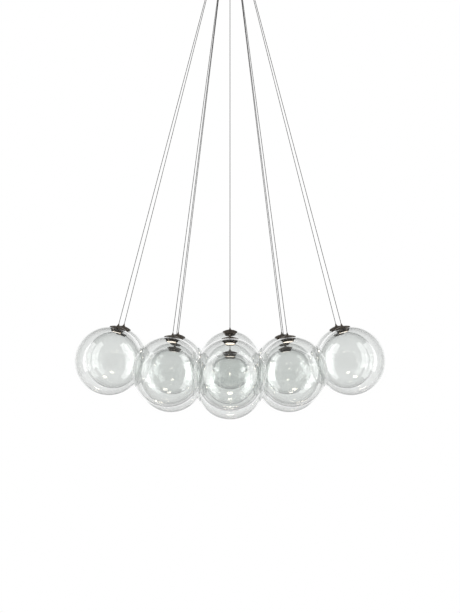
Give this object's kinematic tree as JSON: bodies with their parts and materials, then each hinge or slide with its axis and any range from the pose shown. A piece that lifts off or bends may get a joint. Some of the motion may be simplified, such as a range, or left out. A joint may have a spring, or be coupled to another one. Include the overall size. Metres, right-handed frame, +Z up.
{
  "type": "cluster pendant light",
  "caption": "Cluster pendant: clear hollow glass globes hung in a honeycomb on thin taut cables that fan out from a round canopy, each closed by a dark bronze cap that holds a small lamp.",
  "frame": {"origin": "centre of the mounting plate's upper face, on the ceiling", "axes": "+Z up into the ceiling, +Y from the front of the cluster to its rear, +X to the right as seen from the front"},
  "size_m": [0.6322, 0.5662, 0.9635],
  "materials": {
    "globe_glass": "clear blown glass, polished",
    "cap_bronze": "dark bronze, satin",
    "light_opal": "opal, lit warm white",
    "cable_sheath": "thin dark sheath, satin",
    "canopy_bronze": "dark bronze, satin",
    "plate_steel": "zinc plated",
    "grip_bronze": "dark bronze, turned",
    "nut_brass": "plain brass",
    "board_laminate": "green laminate",
    "spacer_brass": "plain brass",
    "driver_case": "moulded, fine grain",
    "terminal_moulding": "moulded",
    "screw_steel": "zinc plated"
  },
  "bodies": {
    "ceiling_unit": {"globe_mid_left_middle": "globe_glass", "cable_mid_left_middle": "cable_sheath", "globe_inner_front": "globe_glass", "cable_inner_front": "cable_sheath", "globe_inner_rear": "globe_glass", "cable_inner_rear": "cable_sheath", "globe_mid_right_middle": "globe_glass", "cable_mid_right_middle": "cable_sheath", "inner_caps": "cap_bronze", "inner_lights": "light_opal", "mounting_plate": "plate_steel", "canopy": "canopy_bronze", "cable_grips": "grip_bronze", "grip_nuts": "nut_brass", "cable_tails": "cable_sheath", "supply_board": "board_laminate", "board_spacers": "spacer_brass", "led_driver": "driver_case", "supply_terminal": "terminal_moulding", "m4_screws": "screw_steel"},
    "pendant_left_front": {"globe_left_front": "globe_glass", "cable_left_front": "cable_sheath", "cap_left_front": "cap_bronze", "light_left_front": "light_opal"},
    "pendant_left_rear": {"globe_left_rear": "globe_glass", "cable_left_rear": "cable_sheath", "cap_left_rear": "cap_bronze", "light_left_rear": "light_opal"},
    "pendant_mid_left_front": {"globe_mid_left_front": "globe_glass", "cable_mid_left_front": "cable_sheath", "cap_mid_left_front": "cap_bronze", "light_mid_left_front": "light_opal"},
    "pendant_mid_left_rear": {"globe_mid_left_rear": "globe_glass", "cable_mid_left_rear": "cable_sheath", "cap_mid_left_rear": "cap_bronze", "light_mid_left_rear": "light_opal"},
    "pendant_front": {"globe_front": "globe_glass", "cable_front": "cable_sheath", "cap_front": "cap_bronze", "light_front": "light_opal"},
    "pendant_rear": {"globe_rear": "globe_glass", "cable_rear": "cable_sheath", "cap_rear": "cap_bronze", "light_rear": "light_opal"},
    "pendant_mid_right_front": {"globe_mid_right_front": "globe_glass", "cable_mid_right_front": "cable_sheath", "cap_mid_right_front": "cap_bronze", "light_mid_right_front": "light_opal"},
    "pendant_mid_right_rear": {"globe_mid_right_rear": "globe_glass", "cable_mid_right_rear": "cable_sheath", "cap_mid_right_rear": "cap_bronze", "light_mid_right_rear": "light_opal"},
    "pendant_right_front": {"globe_right_front": "globe_glass", "cable_right_front": "cable_sheath", "cap_right_front": "cap_bronze", "light_right_front": "light_opal"},
    "pendant_right_rear": {"globe_right_rear": "globe_glass", "cable_right_rear": "cable_sheath", "cap_right_rear": "cap_bronze", "light_right_rear": "light_opal"}
  },
  "joints": [
    {"name": "swing_left_front", "type": "hinge", "parent": "ceiling_unit", "child": "pendant_left_front", "pos_m": [-0.03984, -0.0115, -0.046], "axis": [-0.5, 0.866, 0], "range_deg": [0, 12]},
    {"name": "swing_left_rear", "type": "hinge", "parent": "ceiling_unit", "child": "pendant_left_rear", "pos_m": [-0.03984, 0.0115, -0.046], "axis": [0.5, 0.866, 0], "range_deg": [0, 12]},
    {"name": "swing_mid_left_front", "type": "hinge", "parent": "ceiling_unit", "child": "pendant_mid_left_front", "pos_m": [-0.01992, -0.023, -0.046], "axis": [-0.866, 0.5, 0], "range_deg": [0, 12]},
    {"name": "swing_mid_left_rear", "type": "hinge", "parent": "ceiling_unit", "child": "pendant_mid_left_rear", "pos_m": [-0.01992, 0.023, -0.046], "axis": [0.866, 0.5, 0], "range_deg": [0, 12]},
    {"name": "swing_front", "type": "hinge", "parent": "ceiling_unit", "child": "pendant_front", "pos_m": [0, -0.0345, -0.046], "axis": [-1, 0, 0], "range_deg": [0, 12]},
    {"name": "swing_rear", "type": "hinge", "parent": "ceiling_unit", "child": "pendant_rear", "pos_m": [0, 0.0345, -0.046], "axis": [1, 0, 0], "range_deg": [0, 12]},
    {"name": "swing_mid_right_front", "type": "hinge", "parent": "ceiling_unit", "child": "pendant_mid_right_front", "pos_m": [0.01992, -0.023, -0.046], "axis": [-0.866, -0.5, 0], "range_deg": [0, 12]},
    {"name": "swing_mid_right_rear", "type": "hinge", "parent": "ceiling_unit", "child": "pendant_mid_right_rear", "pos_m": [0.01992, 0.023, -0.046], "axis": [0.866, -0.5, 0], "range_deg": [0, 12]},
    {"name": "swing_right_front", "type": "hinge", "parent": "ceiling_unit", "child": "pendant_right_front", "pos_m": [0.03984, -0.0115, -0.046], "axis": [-0.5, -0.866, 0], "range_deg": [0, 12]},
    {"name": "swing_right_rear", "type": "hinge", "parent": "ceiling_unit", "child": "pendant_right_rear", "pos_m": [0.03984, 0.0115, -0.046], "axis": [0.5, -0.866, 0], "range_deg": [0, 12]}
  ]
}
